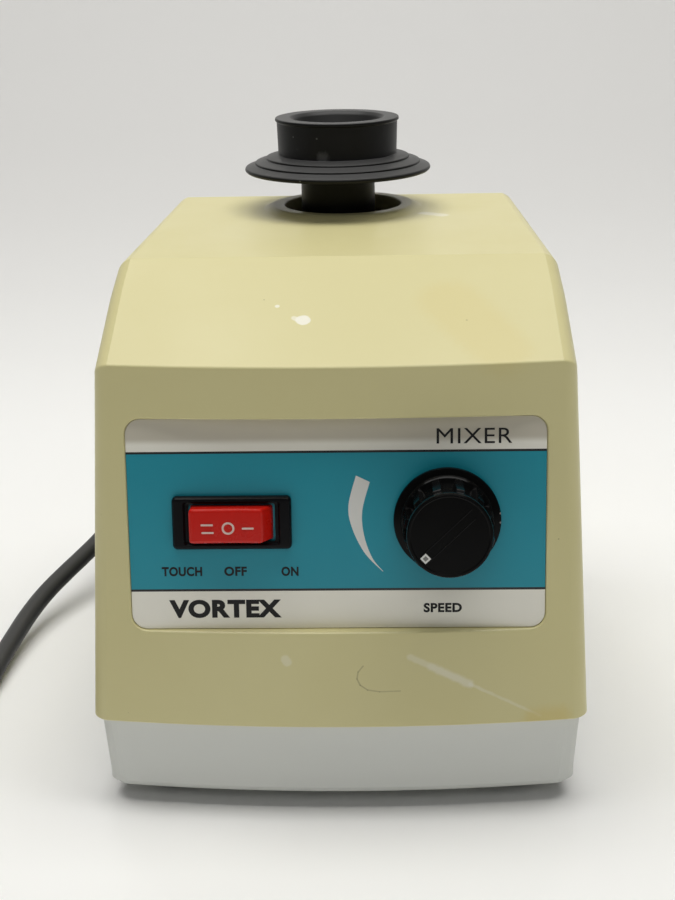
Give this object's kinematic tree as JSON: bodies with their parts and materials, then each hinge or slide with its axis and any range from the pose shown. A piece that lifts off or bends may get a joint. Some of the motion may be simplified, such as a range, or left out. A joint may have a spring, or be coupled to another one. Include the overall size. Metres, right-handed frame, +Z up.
{
  "type": "vortex mixer",
  "caption": "Small bench vortex mixer: sloping cream cover on a cast base with rubber feet, rubber cup head on an orbiting drive, rocker switch, speed knob and mains cord.",
  "frame": {"origin": "on the table under the middle of the object's footprint, measured without the cord, its coil and its plug", "axes": "+Z up, -Y towards the front panel with the switch and the knob, +X to the right of someone facing that panel"},
  "size_m": [0.2655, 0.24, 0.1665],
  "materials": {
    "cream_plastic": "cream painted moulding with a fine orange-peel surface and light wear",
    "base_paint": "off-white paint on a casting, satin",
    "label_film": "teal printed film with cream borders",
    "black_rubber": "matt moulded rubber",
    "zinc_screws": "zinc plated",
    "black_plastic": "moulded, satin",
    "red_plastic": "moulded, glossy",
    "white_ink": "white filled mark",
    "brass": "plain",
    "plated_steel": "plated",
    "machined_aluminium": "turned",
    "bearing_steel": "ground",
    "dark_steel": "black oxide",
    "spring_steel": "bright wire",
    "laminated_steel": "stacked sheets",
    "white_nylon": "moulded nylon",
    "copper_winding": "enamelled wire",
    "cast_aluminium": "die cast",
    "board_green": "glass-fibre board",
    "component_orange": "dipped components",
    "heat_sink_aluminium": "extruded",
    "cord_rubber": "matt black flexible lead"
  },
  "bodies": {
    "root": {"base_casting": "base_paint", "cover": "cream_plastic", "label_plate": "label_film", "foot_1": "black_rubber", "foot_2": "black_rubber", "foot_3": "black_rubber", "foot_4": "black_rubber", "foot_screws": "zinc_screws", "cover_screws": "zinc_screws", "switch_body": "black_plastic", "switch_terminals": "brass", "pot_body": "plated_steel", "pot_washer": "plated_steel", "pot_nut": "plated_steel", "tether_spring": "spring_steel", "stator_core": "laminated_steel", "winding_front": "copper_winding", "winding_rear": "copper_winding", "lower_bracket": "cast_aluminium", "upper_bracket": "cast_aluminium", "lower_bush": "brass", "upper_bush": "brass", "motor_bolts": "zinc_screws", "motor_grommets": "black_rubber", "motor_screws": "zinc_screws", "plunger_guide": "brass", "touch_spring": "spring_steel", "microswitch_body": "black_plastic", "microswitch_bracket": "plated_steel", "microswitch_screws": "zinc_screws", "circuit_board": "board_green", "board_parts": "component_orange", "heat_sink": "heat_sink_aluminium", "board_screws": "zinc_screws", "strain_relief": "cord_rubber", "cord": "cord_rubber", "cord_coil": "cord_rubber", "cord_tail": "cord_rubber", "plug_body": "cord_rubber", "plug_pins": "brass"},
    "plunger": {"thrust_plunger": "white_nylon", "thrust_ball": "bearing_steel"},
    "rotor": {"motor_shaft": "bearing_steel", "rotor_core": "laminated_steel", "fan": "white_nylon", "eccentric": "machined_aluminium", "counterweight": "brass", "set_screw": "dark_steel", "bearing_inner": "bearing_steel", "circlip": "bearing_steel"},
    "head": {"head_hub": "machined_aluminium", "bearing_outer": "bearing_steel", "bearing_balls": "bearing_steel"},
    "cup": {"cup_head": "black_rubber"},
    "rocker": {"switch_rocker": "red_plastic"},
    "knob": {"speed_knob": "black_plastic", "knob_marker": "white_ink", "pot_shaft": "plated_steel"},
    "lever": {"microswitch_lever": "plated_steel"},
    "button": {"microswitch_button": "red_plastic"}
  },
  "joints": [
    {"name": "touch_press", "type": "slide", "parent": "root", "child": "plunger", "axis": [0, 0, 1], "range_m": [-0.0015, 0], "stiffness_N_per_m": 4000, "springref_m": 0.002, "deforming": ["touch_spring"]},
    {"name": "motor_spin", "type": "hinge", "parent": "plunger", "child": "rotor", "pos_m": [0, 0.0544, 0.06], "axis": [0, 0, 1], "continuous": true},
    {"name": "head_orbit", "type": "hinge", "parent": "rotor", "child": "head", "pos_m": [-0.00141, 0.05299, 0.12], "axis": [0, 0, 1], "continuous": true, "deforming": ["tether_spring"]},
    {"name": "cup_pull", "type": "slide", "parent": "head", "child": "cup", "axis": [0, 0, 1], "range_m": [0, 0.02]},
    {"name": "rocker_tilt", "type": "hinge", "parent": "root", "child": "rocker", "pos_m": [-0.0266, -0.06431, 0.07972], "axis": [0, 0.1392, 0.9903], "range_deg": [-11, 11]},
    {"name": "knob_turn", "type": "hinge", "parent": "root", "child": "knob", "pos_m": [0.0281, -0.07401, 0.08108], "axis": [0, 0.9903, -0.1392], "range_deg": [0, 270]},
    {"name": "lever_tilt", "type": "hinge", "parent": "root", "child": "lever", "pos_m": [0.029, 0.0544, 0.0227], "axis": [0, 1, 0], "range_deg": [-4.5, 0]},
    {"name": "button_press", "type": "slide", "parent": "root", "child": "button", "axis": [0, 0, 1], "range_m": [-0.0005, 0]}
  ],
  "couplings": [
    {"joint": "head_orbit", "follows": "motor_spin", "ratio": -1},
    {"joint": "lever_tilt", "follows": "touch_press", "rad_per_m": 50},
    {"joint": "button_press", "follows": "touch_press", "ratio": 0.275}
  ]
}
